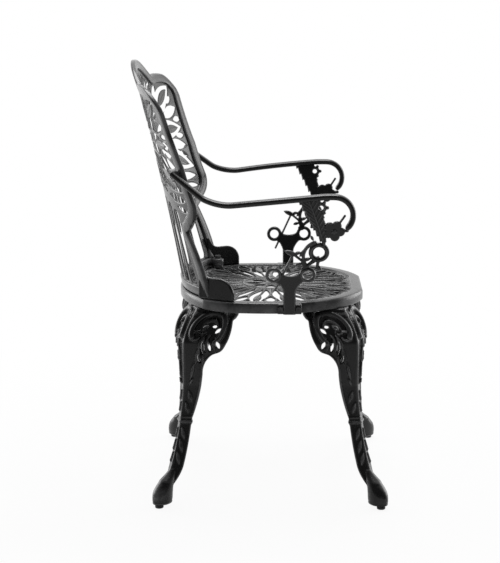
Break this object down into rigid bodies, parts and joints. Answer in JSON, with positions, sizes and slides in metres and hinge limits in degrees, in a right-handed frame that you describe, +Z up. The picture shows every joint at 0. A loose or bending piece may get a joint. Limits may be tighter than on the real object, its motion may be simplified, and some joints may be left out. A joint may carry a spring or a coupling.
{
  "type": "cast garden armchair",
  "caption": "Victorian-style cast iron garden armchair with a pierced round seat, curved openwork back, scroll arms, cabriole legs and levelling feet.",
  "frame": {"origin": "centre of the chair's bounding box in plan, on the floor under the levelling pads", "axes": "+Z up, -Y towards the front of the chair, +X towards the sitter's left"},
  "size_m": [0.6028, 0.5388, 0.9],
  "materials": {
    "coated_casting": "black satin powder coat over cast iron",
    "coated_fastener": "black satin paint over steel",
    "glide_pad": "moulded, slightly worn underside",
    "steel_stud": "zinc plated"
  },
  "bodies": {
    "frame": {"seat": "coated_casting", "backrest": "coated_casting", "right_arm": "coated_casting", "left_arm": "coated_casting", "front_left_leg": "coated_casting", "front_right_leg": "coated_casting", "rear_left_leg": "coated_casting", "rear_right_leg": "coated_casting", "leg_bolts": "coated_fastener", "leg_washers": "coated_fastener", "back_bolts": "coated_fastener", "back_washers": "coated_fastener", "back_nuts": "coated_fastener", "arm_foot_screws": "coated_fastener", "arm_rear_bolts": "coated_fastener", "arm_rear_nuts": "coated_fastener"},
    "glide_front_left": {"glide_pad_front_left": "glide_pad", "glide_stud_front_left": "steel_stud"},
    "glide_front_right": {"glide_pad_front_right": "glide_pad", "glide_stud_front_right": "steel_stud"},
    "glide_rear_left": {"glide_pad_rear_left": "glide_pad", "glide_stud_rear_left": "steel_stud"},
    "glide_rear_right": {"glide_pad_rear_right": "glide_pad", "glide_stud_rear_right": "steel_stud"}
  },
  "joints": [
    {"name": "glide_front_left_height", "type": "slide", "parent": "frame", "child": "glide_front_left", "axis": [0, 0, -1], "range_m": [-0.0025, 0.01]},
    {"name": "glide_front_right_height", "type": "slide", "parent": "frame", "child": "glide_front_right", "axis": [0, 0, -1], "range_m": [-0.0025, 0.01]},
    {"name": "glide_rear_left_height", "type": "slide", "parent": "frame", "child": "glide_rear_left", "axis": [0, 0, -1], "range_m": [-0.0025, 0.01]},
    {"name": "glide_rear_right_height", "type": "slide", "parent": "frame", "child": "glide_rear_right", "axis": [0, 0, -1], "range_m": [-0.0025, 0.01]}
  ]
}
